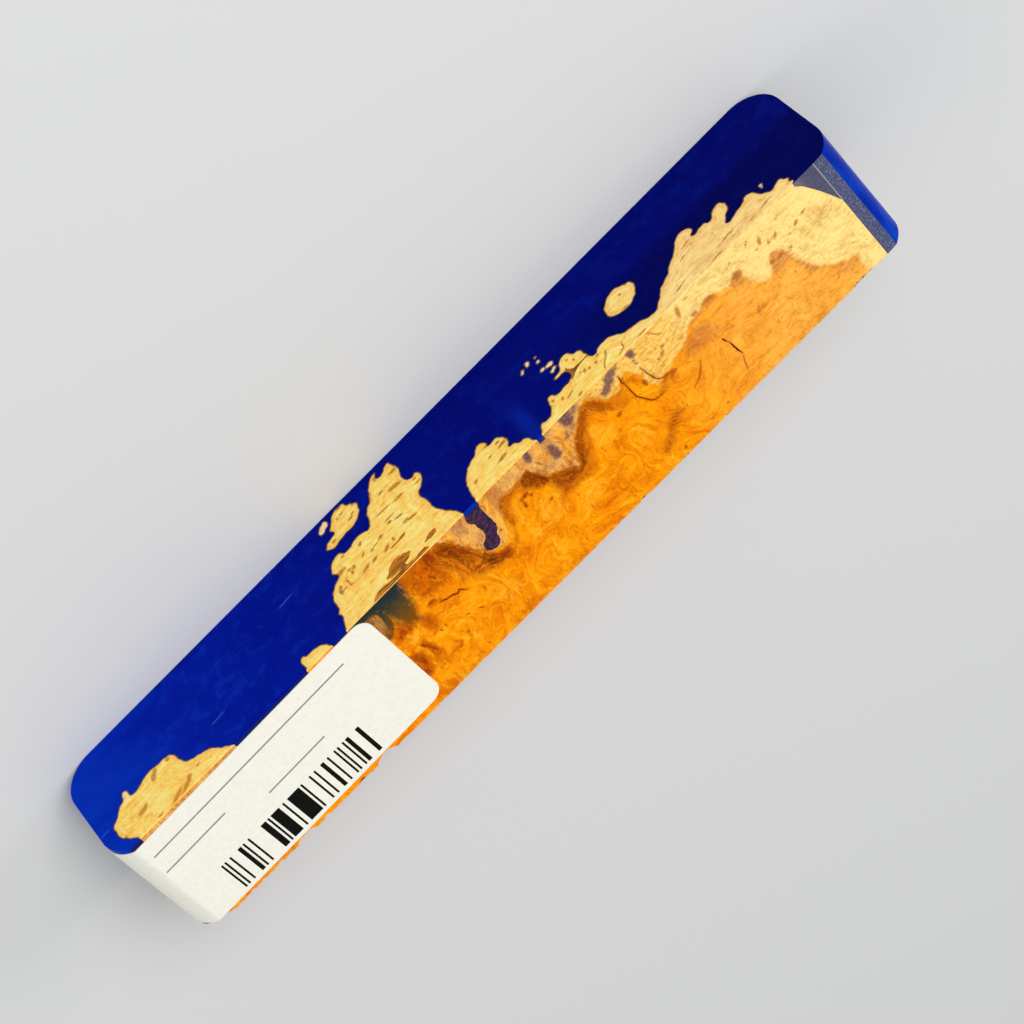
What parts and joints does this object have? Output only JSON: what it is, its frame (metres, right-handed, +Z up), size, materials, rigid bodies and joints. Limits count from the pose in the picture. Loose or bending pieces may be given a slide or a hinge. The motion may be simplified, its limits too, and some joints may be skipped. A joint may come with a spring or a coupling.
{
  "type": "hybrid pen blank of mallee burl and blue resin",
  "caption": "Square pen-turning blank: a piece of mallee burl cast in blue resin, round mould corners at its ends, and a blank paper label folded over one end.",
  "frame": {"origin": "middle of the underside, the flat face that the blank lies on", "axes": "+X along the blank towards the end with the label, +Y from the polished front to the sawn back, +Z up"},
  "size_m": [0.1275, 0.0196, 0.02],
  "materials": {
    "burl": "sanded burl, cream sapwood and orange figured heartwood",
    "resin": "deep blue cast resin, glossy at the front and sanded on top",
    "label": "white paper label with a light sheen"
  },
  "bodies": {
    "root": {"burl": "burl", "resin": "resin", "label": "label"}
  },
  "joints": []
}
